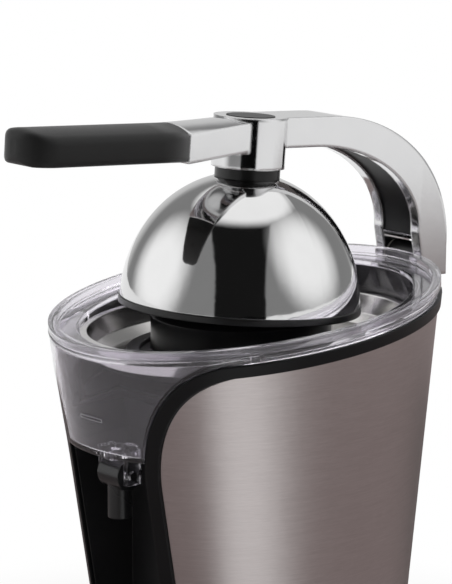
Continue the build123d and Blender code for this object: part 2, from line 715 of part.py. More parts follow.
def drive_shaft():
    key_top = REAMER_BOTTOM_Z + KEY_END
    shaft = rod(SHAFT_R, CUP_LOW + CUP_FLOOR, key_top)
    key_z = (REAMER_BOTTOM_Z + KEY_START, key_top + OVER)
    return shaft - box_between((SHAFT_R - KEY_DEPTH, SHAFT_R + OVER), (-SHAFT_R, SHAFT_R), key_z)


def reamer_profile(extra, tip_z):
    """The reamer's turned form, swollen by an amount on its upper part."""
    shoulder_z = REAMER_BOTTOM_Z + REAMER_SKIRT
    shoulder = REAMER_R - REAMER_STEP + extra, shoulder_z + REAMER_STEP
    nose = NOSE_R + extra, tip_z - NOSE_R / 2
    waist = (shoulder[0] + nose[0]) / 2 + REAMER_SWELL, (shoulder[1] + nose[1]) / 2
    side = ThreePointArc(shoulder, waist, nose)
    lower = Polyline(nose, (0, tip_z), (0, REAMER_BOTTOM_Z), (REAMER_R, REAMER_BOTTOM_Z),
                     (REAMER_R, shoulder_z), shoulder)
    return spun(side, lower)


def reamer():
    rib_low = REAMER_BOTTOM_Z + REAMER_SKIRT + REAMER_STEP
    half = RIB_THICKNESS / 2
    rib = box_between((NOSE_R / 2, REAMER_R), (-half, half), (rib_low, REAMER_TIP_Z))
    swollen = reamer_profile(RIB_HEIGHT, REAMER_TIP_Z - RIB_HEIGHT)
    ribs = [swollen & rib.rotate(Axis.Z, 360 * i / REAMER_RIBS) for i in range(REAMER_RIBS)]
    cavity_top = REAMER_BOTTOM_Z + REAMER_SKIRT - REAMER_WALL
    body = reamer_profile(0, REAMER_TIP_Z) - rod(REAMER_R - REAMER_WALL, REAMER_BOTTOM_Z - OVER, cavity_top)
    body += rod(SHAFT_R + REAMER_WALL, TOWER_TOP_Z + PRESS_TRAVEL + TOWER_GAP, cavity_top + OVER)
    return body + ribs - drive_shaft()


# Arm and dome, drawn pressed down and then raised about the hinge
def raised(shape):
    return shape.rotate(HINGE, ARM_RAISED)


def arm_plan(inset):
    """Plan of the beam, arch and leg, which widen towards the hinge."""
    narrow, wide = BEAM_HALF_WIDTH - inset, LEG_HALF_WIDTH - inset
    right = [(narrow, 0), (narrow, ARCH_START_Y), (wide, LEG_TOP_Y), (wide, FAR)]
    left = [(-x, y) for x, y in reversed(right)]
    return extrude(outline(Polyline(*right, *left, close=True)), FAR)


def arch_profile():
    """Side view of the beam, arch and leg."""
    arch_low = ARM_TOP_Z - ARCH_HEIGHT
    inner_top = ARM_TOP_Z - BEAM_HEIGHT
    inner_low = inner_top - INNER_HEIGHT
    leg_low = HINGE_Z - LEG_INNER
    outer = ellipse_arc((ARCH_START_Y, arch_low), ARCH_SPAN_Y, ARCH_HEIGHT, 0, 90)
    leg = Polyline((ARCH_START_Y + ARCH_SPAN_Y, arch_low), (HINGE_Y + LEG_OUTER, leg_low), (HINGE_Y, leg_low))
    heel = CenterArc((HINGE_Y, HINGE_Z), LEG_INNER, 180, 90)
    front = Line((HINGE_Y - LEG_INNER, HINGE_Z), (LEG_TOP_Y, inner_low))
    inner = ellipse_arc((INNER_START_Y, inner_low), LEG_TOP_Y - INNER_START_Y, INNER_HEIGHT, 0, 90)
    beam = Polyline((INNER_START_Y, inner_top), (0, inner_top), (0, ARM_TOP_Z), (ARCH_START_Y, ARM_TOP_Z))
    return outline(outer, leg, heel, front, inner, beam)


def hollow_profile():
    """Side view of the channel inside the arch and leg, open to the inner side."""
    arch_low = ARM_TOP_Z - ARCH_HEIGHT
    low = HINGE_Z - 2 * LEG_INNER
    rear_y = ARCH_START_Y + ARCH_SPAN_Y - ARM_SKIN
    skin = ellipse_arc((ARCH_START_Y, arch_low), ARCH_SPAN_Y - ARM_SKIN, ARCH_HEIGHT - ARM_SKIN, 0, 90)
    past_y = HINGE_Y + 2 * LEG_OUTER
    rear = Polyline((rear_y, arch_low), (past_y, arch_low), (past_y, low))
    front = Polyline((past_y, low), (ARCH_START_Y, low), (ARCH_START_Y, ARM_TOP_Z - ARM_SKIN))
    return outline(skin, rear, front)


def grip_section(y, half_width, bottom, crown):
    """Upright section of the handle: flat sides and a crowned top."""
    shoulder = bottom + GRIP_SIDE
    left, right = -half_width, half_width
    sides = Polyline((right, shoulder), (right, bottom), (left, bottom), (left, shoulder))
    top = ThreePointArc((left, shoulder), (0, shoulder + crown), (right, shoulder))
    return Plane.XZ.offset(-y) * outline(sides, top)


def tang(gap):
    low = GRIP_BOTTOM_Z + (GRIP_SIDE - TANG_HEIGHT) / 2
    x = TANG_HALF_WIDTH + gap
    end = GRIP_START_Y - TANG_LENGTH - gap
    return box_between((-x, x), (end, GRIP_START_Y + OVER), (low - gap, low + TANG_HEIGHT + gap))


def arm_casting():
    arch = extrude(Plane.YZ * arch_profile(), FAR / 4, both=True) & arm_plan(0)
    hollow = extrude(Plane.YZ * hollow_profile(), FAR / 4, both=True) & arm_plan(CHEEK)
    neck_bottom = ARM_TOP_Z - GRIP_SIDE - NECK_CROWN
    handle = loft([grip_section(GRIP_START_Y, GRIP_HALF_WIDTH, GRIP_BOTTOM_Z, GRIP_CROWN),
                   grip_section(-STEM_R, NECK_HALF_WIDTH, neck_bottom, NECK_CROWN)], ruled=True)
    boss = rod(BOSS_R, BOSS_BOTTOM_Z, ARM_TOP_Z)
    casting = arch - hollow + handle + boss + tang(0)
    casting -= rod(CAP_R, ARM_TOP_Z - CAP_SEAT, ARM_TOP_Z + OVER)
    casting -= rod(STEM_R, BOSS_BOTTOM_Z - OVER, STEM_TOP_Z)
    casting -= grip_screw_rod(SCREW_R)
    pin_bore = cross_rod(PIN_R + RUN_CLEARANCE, -FAR / 8, PIN_REACH + SKIN_GAP, HINGE_Y, HINGE_Z)
    return raised(casting - pin_bore)


def arm_liner():
    """Cover strip under the arch, set back between the two cheeks."""
    inner_low = ARM_TOP_Z - BEAM_HEIGHT - INNER_HEIGHT
    half_y, half_z = LEG_TOP_Y - INNER_START_Y, INNER_HEIGHT
    back = LINER_RECESS + LINER_THICKNESS
    low_z = HINGE_Z + 1.5 * LEG_INNER
    near = ellipse_arc((INNER_START_Y, inner_low), half_y + LINER_RECESS, half_z + LINER_RECESS, 0, 90)
    away = ellipse_arc((INNER_START_Y, inner_low), half_y + back, half_z + back, 0, 90)
    top = INNER_START_Y, inner_low + half_z
    start = Line((top[0], top[1] + LINER_RECESS), (top[0], top[1] + back))
    tail = Polyline((LEG_TOP_Y + LINER_RECESS, inner_low), (LEG_TOP_Y + LINER_RECESS, low_z),
                    (LEG_TOP_Y + back, low_z), (LEG_TOP_Y + back, inner_low))
    strip = extrude(Plane.YZ * outline(near, away, start, tail), FAR / 4, both=True)
    clear_start = box_between((-FAR, FAR), (ARCH_START_Y + SKIN_GAP, FAR), (0, FAR))
    return raised(strip & arm_plan(CHEEK + SKIN_GAP) & clear_start)


def grip_screw_rod(radius):
    """Line of the screw that runs up through the grip into the tang."""
    top = GRIP_BOTTOM_Z + (GRIP_SIDE + TANG_HEIGHT) / 2
    return rod(radius, GRIP_BOTTOM_Z + SCREW_SUNK, top, 0, GRIP_START_Y - GRIP_SCREW_REACH)


def grip():
    bar = extrude(grip_section(GRIP_START_Y, GRIP_HALF_WIDTH, GRIP_BOTTOM_Z, GRIP_CROWN),
                  GRIP_START_Y - GRIP_END_Y)
    middle_y = (GRIP_START_Y + GRIP_END_Y) / 2
    plan = Pos(0, middle_y + GRIP_CORNER_R) * Rectangle(2 * GRIP_HALF_WIDTH,
                                                        GRIP_START_Y - GRIP_END_Y + 2 * GRIP_CORNER_R)
    plan = fillet(plan.vertices().group_by(Axis.Y)[0], GRIP_CORNER_R)
    bar = bar & extrude(plan, FAR)
    y = GRIP_START_Y - GRIP_SCREW_REACH
    low, head_top = GRIP_BOTTOM_Z - OVER, GRIP_BOTTOM_Z + SCREW_HEAD
    bar -= tang(TANG_GAP)
    bar -= rod(SCREW_R + SCREW_GAP, low, GRIP_BOTTOM_Z + GRIP_SIDE / 2, 0, y)
    return raised(bar - rod(SCREW_HEAD_R + SCREW_GAP, low, head_top, 0, y))


def grip_screw():
    y = GRIP_START_Y - GRIP_SCREW_REACH
    head = rod(SCREW_HEAD_R, GRIP_BOTTOM_Z + SCREW_SUNK, GRIP_BOTTOM_Z + SCREW_HEAD, 0, y)
    return raised(head + grip_screw_rod(SCREW_R))


def boss_cap():
    return raised(rod(CAP_R, ARM_TOP_Z - CAP_SEAT, ARM_TOP_Z + CAP_PROUD))


def hinge_cap():
    return raised(cross_rod(PIN_R + RUN_CLEARANCE, -LEG_HALF_WIDTH, -PIN_REACH, HINGE_Y, HINGE_Z))


def dome_arc(radius, height, low, high):
    """Part of the dome's elliptical outline between two heights."""
    start = math.degrees(math.asin((low - DOME_BASE_Z) / height))
    end = math.degrees(math.asin((high - DOME_BASE_Z) / height))
    return ellipse_arc((0, DOME_BASE_Z), radius, height, start, end - start)


def dome_shell():
    low = DOME_BASE_Z + RING_HEIGHT / 2 + SKIN_GAP
    outer = dome_arc(DOME_R, DOME_HEIGHT, low, COLLAR_Z)
    inner = dome_arc(DOME_R - DOME_SHEET, DOME_HEIGHT - DOME_SHEET, low, COLLAR_Z - DOME_SHEET)
    bore = STEM_R + SKIN_GAP
    top = Polyline(outer @ 1, (bore, COLLAR_Z), (bore, COLLAR_Z - DOME_SHEET), inner @ 1)
    return raised(spun(outer, top, inner, Line(inner @ 0, outer @ 0)))


def dome_liner():
    low = DOME_BASE_Z - RING_HEIGHT / 2
    ring_top = DOME_BASE_Z + RING_HEIGHT / 2
    skin = DOME_SHEET + SKIN_GAP
    top_z = COLLAR_Z - DOME_SHEET - SKIN_GAP
    outer = dome_arc(DOME_R - skin, DOME_HEIGHT - skin, ring_top, top_z)
    inside_r, inside_h = DOME_R - skin - LINER_WALL, DOME_HEIGHT - skin - LINER_WALL - LINER_CROWN
    head_r = HEAD_R + SCREW_GAP
    bore = STEM_R + SKIN_GAP
    half = math.sqrt(0.5)
    end_z = DOME_BASE_Z + inside_h * math.sqrt(1 - (head_r / inside_r) ** 2)
    middle = inside_r * half, DOME_BASE_Z + inside_h * half
    inner = ThreePointArc((inside_r, DOME_BASE_Z), middle, (head_r, end_z))
    ring = Polyline(inner @ 0, (inside_r, low), (RING_R, low), (RING_R, ring_top), outer @ 0)
    top = Polyline(outer @ 1, (bore, top_z), (bore, HEAD_TOP_Z), (head_r, HEAD_TOP_Z), inner @ 1)
    return raised(spun(inner, ring, outer, top))


def dome_collar():
    return raised(tube(COLLAR_R, STEM_R + SKIN_GAP, COLLAR_Z, BOSS_BOTTOM_Z))


def dome_stem():
    head = rod(HEAD_R, HEAD_TOP_Z - SCREW_HEAD, HEAD_TOP_Z)
    return raised(head + rod(STEM_R, HEAD_TOP_Z - OVER, STEM_TOP_Z))


# Hinge at the rear
def knuckle_half_width():
    return LEG_HALF_WIDTH - CHEEK - KNUCKLE_GAP - SKIN_GAP


def hinge_bracket():
    low_y = body_rear_y(BRACKET_LOW_Z) + BRACKET_DEPTH
    front_y = HINGE_Y - KNUCKLE_R
    rear_y = HINGE_Y + KNUCKLE_R
    shelf_z = HINGE_Z - 1.5 * KNUCKLE_R
    knuckle = CenterArc((HINGE_Y, HINGE_Z), KNUCKLE_R, 0, 180)
    rear = Polyline((rear_y, HINGE_Z), (rear_y, HINGE_Z - 2 * KNUCKLE_R), (low_y, BRACKET_LOW_Z),
                    (0, BRACKET_LOW_Z))
    front = Polyline((0, BRACKET_LOW_Z), (0, shelf_z), (front_y, shelf_z), (front_y, HINGE_Z))
    bracket = extrude(Plane.YZ * outline(knuckle, rear, front), knuckle_half_width(), both=True)
    bracket -= body_solid(-SKIN_GAP)
    bracket -= body_solid(-TRIM_PROUD - SKIN_GAP) - below(TRIM_PLANE, TRIM_WIDTH + BRACKET_TRIM_GAP)
    bracket -= cross_rod(PIN_R, -FAR / 8, FAR / 8, HINGE_Y, HINGE_Z)
    for z, cutter in zip(BRACKET_SCREW_Z, bracket_screw_rods(SCREW_R + SCREW_GAP)):
        seat_y = bracket_seat_y(z)
        bracket -= cutter + long_rod(SCREW_HEAD_R + SCREW_GAP, seat_y, seat_y + FAR / 8, z)
    return bracket


def hinge_pin():
    return cross_rod(PIN_R, SKIN_GAP - PIN_REACH, PIN_REACH, HINGE_Y, HINGE_Z)


def hinge_washers():
    half_width = knuckle_half_width()
    washers = []
    for side in (-1, 1):
        left, right = sorted((side * half_width, side * (half_width + KNUCKLE_GAP)))
        washer = cross_rod(KNUCKLE_R, left, right, HINGE_Y, HINGE_Z)
        washers.append(washer - cross_rod(PIN_R, left - OVER, right + OVER, HINGE_Y, HINGE_Z))
    return washers


def bracket_screws():
    screws = []
    for z, shank in zip(BRACKET_SCREW_Z, bracket_screw_rods(SCREW_R)):
        seat_y = bracket_seat_y(z)
        head = long_rod(SCREW_HEAD_R, seat_y, seat_y + SCREW_HEAD, z)
        socket = long_rod(SCREW_R, seat_y + SCREW_HEAD / 2, seat_y + 2 * SCREW_HEAD, z)
        screws.append(head + shank - socket)
    return screws


def cord_gland():
    depth = WRAP_THICKNESS + SKIN_GAP + SHELL_WALL + GLAND_TAIL
    flange = gland_rod(GLAND_FLANGE_R, GLAND_STAND_OFF, GLAND_STAND_OFF + GLAND_FLANGE)
    sleeve = gland_rod(GLAND_R - SKIN_GAP, -depth, GLAND_STAND_OFF + GLAND_FLANGE)
    return flange + sleeve - gland_rod(GLAND_R / 2, -FAR / 4, FAR / 4)


NODES = {
    "plinth": plinth, "bottom_cover": bottom_cover, "rubber_feet": rubber_feet, "base_screws": base_screws,
    "housing_shell": housing_shell, "steel_wrap": steel_wrap, "top_trim": top_trim, "juice_bowl": juice_bowl,
    "strainer": strainer, "sieve_ring": sieve_ring, "gear_plate": gear_plate, "motor_can": motor_can,
    "stator": stator, "idler_axle": idler_axle, "microswitch": microswitch, "press_spring": press_spring,
    "spindle_bush": spindle_bush, "shaft_seal": shaft_seal, "hinge_bracket": hinge_bracket,
    "hinge_pin": hinge_pin, "hinge_washers": hinge_washers, "bracket_screws": bracket_screws,
    "cord_gland": cord_gland, "arm_casting": arm_casting, "arm_liner": arm_liner, "grip": grip,
    "grip_screw": grip_screw, "boss_cap": boss_cap, "hinge_cap": hinge_cap, "dome_shell": dome_shell,
    "dome_liner": dome_liner, "dome_collar": dome_collar, "dome_stem": dome_stem, "thrust_cup": thrust_cup,
    "switch_plunger": switch_plunger, "drive_shaft": drive_shaft, "output_gear": output_gear,
    "reamer": reamer, "idler_gear": idler_gear, "rotor": rotor, "motor_pinion": motor_pinion, "spout": spout,
}

os.makedirs("parts", exist_ok=True)
for node, make in NODES.items():
    made = make()
    solids = made if isinstance(made, list) else [made]
    placed = [Pos(0, SPINDLE_Y, 0) * solid for solid in solids]
    export_step(Compound(children=placed) if len(placed) > 1 else placed[0], f"parts/{node}.step")
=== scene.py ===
import bpy
import math
from mathutils import Matrix, Vector


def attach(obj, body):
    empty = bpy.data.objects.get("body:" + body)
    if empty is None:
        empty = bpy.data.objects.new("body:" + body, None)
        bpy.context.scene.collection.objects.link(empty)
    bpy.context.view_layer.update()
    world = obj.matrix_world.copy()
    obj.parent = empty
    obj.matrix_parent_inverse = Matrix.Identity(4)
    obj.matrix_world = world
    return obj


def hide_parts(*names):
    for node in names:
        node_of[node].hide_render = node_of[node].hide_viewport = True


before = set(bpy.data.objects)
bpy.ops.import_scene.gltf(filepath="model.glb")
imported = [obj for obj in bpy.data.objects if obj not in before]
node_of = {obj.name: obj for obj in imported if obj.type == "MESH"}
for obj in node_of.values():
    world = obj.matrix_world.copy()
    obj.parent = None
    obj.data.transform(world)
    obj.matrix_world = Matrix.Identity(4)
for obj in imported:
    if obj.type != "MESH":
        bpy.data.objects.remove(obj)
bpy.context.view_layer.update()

# Plinth and bottom cover.
# The real ones are injection moulded in black plastic with a fine spark-eroded grain,
# and the cover is let into the plinth from below.


class Value:
    """A socket in a surface; sums and products written on it add the nodes for them."""

    def __init__(self, tree, socket):
        self.tree = tree
        self.socket = socket

    def maths(self, operation, *terms):
        made = self.tree.nodes.new("ShaderNodeMath")
        made.operation = operation
        for slot, term in zip(made.inputs, terms):
            join(self.tree, slot, term)
        return Value(self.tree, made.outputs[0])

    def __add__(self, other):
        return self.maths("ADD", self, other)

    def __radd__(self, other):
        return self.maths("ADD", other, self)

    def __sub__(self, other):
        return self.maths("SUBTRACT", self, other)

    def __rsub__(self, other):
        return self.maths("SUBTRACT", other, self)

    def __mul__(self, other):
        return self.maths("MULTIPLY", self, other)

    def __rmul__(self, other):
        return self.maths("MULTIPLY", other, self)


def join(tree, slot, term):
    """Sets a socket to a number or colour, or links a value to it."""
    if isinstance(term, Value):
        tree.links.new(term.socket, slot)
    else:
        slot.default_value = term


class Shading:
    """A node tree, and the one way to add a node to it."""

    def __init__(self, tree):
        self.tree = tree

    def node(self, kind, settings, inputs, output=0):
        made = self.tree.nodes.new(kind)
        for key, choice in settings.items():
            setattr(made, key, choice)
        for key, term in inputs.items():
            join(self.tree, made.inputs[key], term)
        return Value(self.tree, made.outputs[output])


class Finish(Shading):
    """One procedural surface; plain numbers go straight on the shader's own sockets."""

    MIX_AMOUNT, MIX_LOW, MIX_HIGH, MIX_RESULT = 0, 6, 7, 2

    def __init__(self, name, **plain):
        self.material = bpy.data.materials.new(name)
        self.material.use_nodes = True
        super().__init__(self.material.node_tree)
        self.shader = self.tree.nodes["Principled BSDF"]
        for words, amount in plain.items():
            socket = words.replace("_", " ").title().replace("Ior", "IOR")
            self.shader.inputs[socket].default_value = amount

    def place(self, stretch=(1.0, 1.0, 1.0)):
        """The piece's own coordinates in metres, stretched along each axis."""
        here = self.node("ShaderNodeTexCoord", {}, {}, "Object")
        return self.node("ShaderNodeVectorMath", {"operation": "MULTIPLY"}, {0: here, 1: stretch})

    def noise(self, scale, detail=2.0, stretch=(1.0, 1.0, 1.0)):
        sockets = {"Vector": self.place(stretch), "Scale": scale, "Detail": detail}
        return self.node("ShaderNodeTexNoise", {}, sockets, "Fac")

    def tint(self, amount, low, high):
        """Colour between two colours."""
        sockets = {self.MIX_AMOUNT: amount, self.MIX_LOW: (*low, 1.0), self.MIX_HIGH: (*high, 1.0)}
        return self.node("ShaderNodeMix", {"data_type": "RGBA"}, sockets, self.MIX_RESULT)

    def colour(self, value):
        join(self.tree, self.shader.inputs["Base Color"], value)

    def rough(self, value):
        join(self.tree, self.shader.inputs["Roughness"], value)

    def relief(self, height, depth, edge):
        """Fine relief over edges that are broken by a small radius."""
        rounded = self.node("ShaderNodeBevel", {"samples": 6}, {"Radius": edge})
        sockets = {"Height": height, "Strength": 1.0, "Distance": depth, "Normal": rounded}
        join(self.tree, self.shader.inputs["Normal"], self.node("ShaderNodeBump", {}, sockets))

    def on(self, *pieces):
        for piece in pieces:
            target = node_of[piece] if isinstance(piece, str) else piece
            target.data.materials.clear()
            target.data.materials.append(self.material)


def moulded(name, dark, light, rough, grain=0.00003, grain_scale=2200.0, edge=0.0008, shine=0.4):
    """Moulded plastic: an even colour that is a little cloudy, with a fine grain."""
    uneven = 0.1
    finish = Finish(name, specular_ior_level=shine)
    cloud = finish.noise(scale=38.0, detail=3.0)
    fine = finish.noise(scale=grain_scale, detail=1.0)
    finish.colour(finish.tint(cloud, dark, light))
    finish.rough(rough - uneven / 2 + uneven * cloud)
    finish.relief(fine, depth=grain, edge=edge)
    return finish


plinth_black = moulded("plinth_black", dark=(0.012, 0.012, 0.013), light=(0.02, 0.02, 0.021), rough=0.45)
plinth_black.on("plinth", "bottom_cover")

# Feet, shaft seal and cord gland.
# They are moulded in black rubber: the feet are pressed into the cover's recesses,
# and the gland is pushed through the wrap at the rear.
rubber = moulded("black_rubber", dark=(0.013, 0.013, 0.013), light=(0.024, 0.024, 0.024), rough=0.72,
                 grain=0.00005, grain_scale=1500.0)
rubber.on("rubber_feet", "shaft_seal", "cord_gland")

# Screws, pins and axles.
# They are turned from plain bright steel, so fine rings run round each one; the screw of
# the grip is blackened, and the bush of the spindle is bronze.


def turned(name, dark, light, rough):
    """Turned metal: fine rings of light and dark along its length."""
    finish = Finish(name, metallic=1.0)
    rings = finish.noise(scale=900.0, detail=2.0, stretch=(0.15, 0.15, 1.0))
    finish.colour(finish.tint(rings, dark, light))
    finish.rough(rough + 0.1 * rings)
    finish.relief(rings, depth=0.00001, edge=0.0003)
    return finish


bright_steel = turned("bright_steel", dark=(0.52, 0.52, 0.53), light=(0.64, 0.64, 0.65), rough=0.2)
bright_steel.on("base_screws", "idler_axle", "hinge_pin", "bracket_screws", "dome_stem")
bright_steel.on("drive_shaft", "motor_pinion", "press_spring")
black_oxide = turned("black_oxide", dark=(0.03, 0.03, 0.03), light=(0.05, 0.05, 0.05), rough=0.35)
black_oxide.on("grip_screw")
bearing_bronze = turned("bearing_bronze", dark=(0.4, 0.25, 0.11), light=(0.52, 0.34, 0.16), rough=0.3)
bearing_bronze.on("spindle_bush")

# Housing shell, gear plate and switch.
# The shell is one black moulding that carries the deck, the bay for the glass and the
# drive plate under it.
shell_black = moulded("shell_black", dark=(0.014, 0.014, 0.015), light=(0.022, 0.022, 0.023), rough=0.4)
shell_black.on("housing_shell", "gear_plate", "microswitch")

# Motor and gears.
# A plain painted can holds the laminated stator and rotor; the gears are cut from
# natural nylon and run on steel.
motor_grey = moulded("motor_grey", dark=(0.2, 0.2, 0.21), light=(0.27, 0.27, 0.28), rough=0.5,
                     grain=0.00002, grain_scale=900.0)
motor_grey.on("motor_can")
laminations = turned("laminations", dark=(0.3, 0.29, 0.28), light=(0.42, 0.41, 0.4), rough=0.4)
laminations.on("stator", "rotor")
nylon = moulded("natural_nylon", dark=(0.62, 0.6, 0.54), light=(0.72, 0.7, 0.64), rough=0.42,
                grain=0.00001, grain_scale=1200.0, edge=0.0003)
nylon.on("output_gear", "idler_gear", "thrust_cup", "switch_plunger", "hinge_washers")

# Steel wrap.
# One sheet of stainless steel is rolled round the body, brushed along its girth, and
# held by the trim at the top and the plinth below.


def brushed(name, dark, light, rough, streak, girth):
    """Brushed steel: long streaks along one direction, much finer across it."""
    uneven = 0.12
    finish = Finish(name, metallic=1.0, anisotropic=0.45)
    coarse = finish.noise(scale=streak, detail=3.0, stretch=girth)
    fine = finish.noise(scale=streak * 4.0, detail=2.0, stretch=girth)
    lines = 0.55 * coarse + 0.45 * fine
    finish.colour(finish.tint(lines, dark, light))
    finish.rough(rough - uneven / 2 + uneven * lines)
    finish.relief(lines, depth=0.000012, edge=0.0003)
    return finish


wrap_steel = brushed("wrap_steel", dark=(0.48, 0.44, 0.435), light=(0.69, 0.645, 0.64), rough=0.32,
                     streak=1100.0, girth=(0.06, 0.06, 1.0))
wrap_steel.on("steel_wrap")

# Top trim.
# A satin black strip clips over the edge of the wrap, along the rim and down both sides
# of the front opening.
trim_black = moulded("trim_black", dark=(0.006, 0.006, 0.007), light=(0.01, 0.01, 0.011), rough=0.36,
                     grain=0.000008, grain_scale=1800.0, edge=0.0012, shine=0.2)
trim_black.on("top_trim")

# Juice bowl.
# It is injection moulded in clear plastic with a slight violet tint. It has a rolled lip, a
# ledge for the strainer and a pouch at the front that shows through the opening.
CLEAR_IOR = 1.46
CLEAR_VIOLET = (0.885, 0.86, 0.915, 1.0)
clear = Finish("clear_plastic", transmission_weight=0.97, ior=CLEAR_IOR, base_color=CLEAR_VIOLET)
flow = clear.noise(scale=45.0, detail=2.0)
clear.rough(0.015 + 0.03 * flow)
clear.relief(flow, depth=0.00004, edge=0.0012)
clear.on("juice_bowl")

# Level bar.
# The line for the highest level is moulded with the bowl, as a low raised outline on the
# front of the pouch.
SPINDLE_Y = 0.00593
POUCH_TOP = 0.199
POUCH_HALF_LENGTH = 0.0971
POUCH_HALF_WIDTH = 0.0786
POUCH_MIDDLE = 0.0035
FRONT_DRAFT = math.tan(math.radians(9.0))
REAR_DRAFT = math.tan(math.radians(5.5))
BAR_LEVEL = 0.1655
BAR_HALF_WIDTH = 0.0073
BAR_HALF_HEIGHT = 0.0009
BAR_CORNER = 0.0005
BAR_LINE = 0.0004
BAR_SLOPE = 0.0001
BAR_PROUD = 0.0002
BAR_SUNK = -0.0001
BAR_STEPS = 32


def smooth_piece(name, points, faces, body):
    """Mesh that rides a body, smooth-shaded on its four-sided faces."""
    mesh = bpy.data.meshes.new(name)
    mesh.from_pydata(points, [], faces)
    mesh.polygons.foreach_set("use_smooth", [len(face) == 4 for face in faces])
    made = bpy.data.objects.new(name, mesh)
    bpy.context.scene.collection.objects.link(made)
    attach(made, body)
    return made


def pouch_front(x, z, proud):
    """Point on the front of the pouch, a drafted ellipse."""
    drop = POUCH_TOP - z
    half_length = POUCH_HALF_LENGTH - drop * (FRONT_DRAFT + REAR_DRAFT) / 2 + proud
    half_width = POUCH_HALF_WIDTH - drop * REAR_DRAFT + proud
    middle_y = POUCH_MIDDLE + SPINDLE_Y + drop * (FRONT_DRAFT - REAR_DRAFT) / 2
    return x, middle_y - half_length * math.sqrt(1 - (x / half_width) ** 2), z


def level_outline(inset):
    """Rounded outline of the bar, in X and Z."""
    half_x = BAR_HALF_WIDTH - inset
    half_z = BAR_HALF_HEIGHT - inset
    corner = BAR_CORNER - inset / 2
    outline = []
    for i in range(BAR_STEPS):
        turn = math.tau * (i + 0.5) / BAR_STEPS
        x = math.copysign(half_x - corner, math.cos(turn)) + corner * math.cos(turn)
        z = math.copysign(half_z - corner, math.sin(turn)) + corner * math.sin(turn)
        outline.append((x, BAR_LEVEL + z))
    return outline


loops = [(0.0, BAR_SUNK), (BAR_SLOPE, BAR_PROUD), (BAR_LINE - BAR_SLOPE, BAR_PROUD), (BAR_LINE, BAR_SUNK)]
bar_points = [pouch_front(x, z, proud) for inset, proud in loops for x, z in level_outline(inset)]
bar_faces = []
for k in range(len(loops)):
    this_loop = BAR_STEPS * k
    next_loop = BAR_STEPS * ((k + 1) % len(loops))
    for i in range(BAR_STEPS):
        after = (i + 1) % BAR_STEPS
        bar_faces.append((this_loop + i, this_loop + after, next_loop + after, next_loop + i))
level_bar = smooth_piece("level_bar", bar_points, bar_faces, "housing")
bar_clear = Finish("bar_clear", transmission_weight=0.6, ior=CLEAR_IOR, base_color=(0.9, 0.89, 0.94, 1.0))
bar_clear.rough(0.2 + 0.1 * bar_clear.noise(scale=300.0))
bar_clear.on(level_bar)

# Spout.
# A black plastic drum with a short tube turns on two trunnions under the pouch.
spout_black = moulded("spout_black", dark=(0.014, 0.014, 0.015), light=(0.022, 0.022, 0.023), rough=0.28,
                      grain=0.00001)
spout_black.on("spout")

# Strainer.
# The pan is pressed from thin stainless steel and polished, so it mirrors the dome.
pan = Finish("pan_steel", metallic=1.0)
pan_cloud = pan.noise(scale=60.0, detail=3.0)
pan.colour(pan.tint(pan_cloud, low=(0.56, 0.55, 0.54), high=(0.66, 0.65, 0.64)))
pan.rough(0.14 + 0.06 * pan_cloud)
pan.relief(pan_cloud, depth=0.00001, edge=0.001)
pan.on("strainer")

# Reamer and sieve.
# Both are moulded in black plastic; the reamer is keyed to the shaft and lifts off,
# and the slotted sieve drops into the hole of the strainer.
reamer_black = moulded("reamer_black", dark=(0.006, 0.006, 0.007), light=(0.011, 0.011, 0.012), rough=0.3,
                       grain=0.000015, shine=0.2)
reamer_black.on("reamer", "sieve_ring")

# Hinge bracket.
# A black painted casting is screwed to the rear of the housing and carries the pin.
bracket_black = moulded("bracket_black", dark=(0.014, 0.014, 0.015), light=(0.022, 0.022, 0.023), rough=0.38,
                        grain=0.00004, grain_scale=1200.0)
bracket_black.on("hinge_bracket")

# Arm.
# The handle end, boss, arch and leg are one zinc casting with a satin chrome plate.
arm_chrome = Finish("satin_chrome", metallic=1.0)
arm_cloud = arm_chrome.noise(scale=70.0, detail=3.0)
arm_chrome.colour(arm_chrome.tint(arm_cloud, low=(0.66, 0.66, 0.665), high=(0.72, 0.72, 0.725)))
arm_chrome.rough(0.06 + 0.05 * arm_cloud)
arm_chrome.relief(arm_cloud, depth=0.00001, edge=0.0018)
arm_chrome.on("arm_casting", "hinge_cap")

# Covers on the arm.
# Black plastic closes the channel under the arch and the top of the boss.
cover_black = moulded("cover_black", dark=(0.01, 0.01, 0.011), light=(0.016, 0.016, 0.017), rough=0.4,
                      grain=0.000015, shine=0.25)
cover_black.on("arm_liner", "boss_cap")

# Grip.
# A matte charcoal plastic sleeve with well rounded edges slides over the tang of the arm
# and is screwed from below.
HINGE_Y = 0.1085
HINGE_Z = 0.212
ARM_TILT = math.radians(-4.5)
HINGE = Matrix.Translation((0.0, HINGE_Y + SPINDLE_Y, HINGE_Z))
RAISED = HINGE @ Matrix.Rotation(ARM_TILT, 4, "X") @ HINGE.inverted()
GRIP_HALF_WIDTH = 0.015
GRIP_START_Y = -0.0486
GRIP_END_Y = -0.134
GRIP_UNDERSIDE = 0.263
GRIP_SHOULDER = 0.2753
GRIP_CROWN = 0.0036
GRIP_EDGE = 0.003
GRIP_EDGE_SHARE = 0.8
GRIP_EDGE_STEPS = 5
GRIP_TOP_SHARES = (0.75, 0.5, 0.25, 0.0)
GRIP_CORNER = 0.014
GRIP_CORNER_START = 4.0
GRIP_CORNER_STEPS = 10
GRIP_END_EDGE = 0.005


def grip_top(x):
    """Height of the crowned top at a distance from the middle."""
    return GRIP_SHOULDER + GRIP_CROWN * (1 - (x / GRIP_HALF_WIDTH) ** 2)


def curved(start, control, end, steps):
    """Points on a quadratic curve."""
    points = []
    for i in range(steps + 1):
        s = i / steps
        first, middle, last = (1 - s) ** 2, 2 * s * (1 - s), s * s
        points.append([first * a + middle * b + last * c for a, b, c in zip(start, control, end)])
    return points


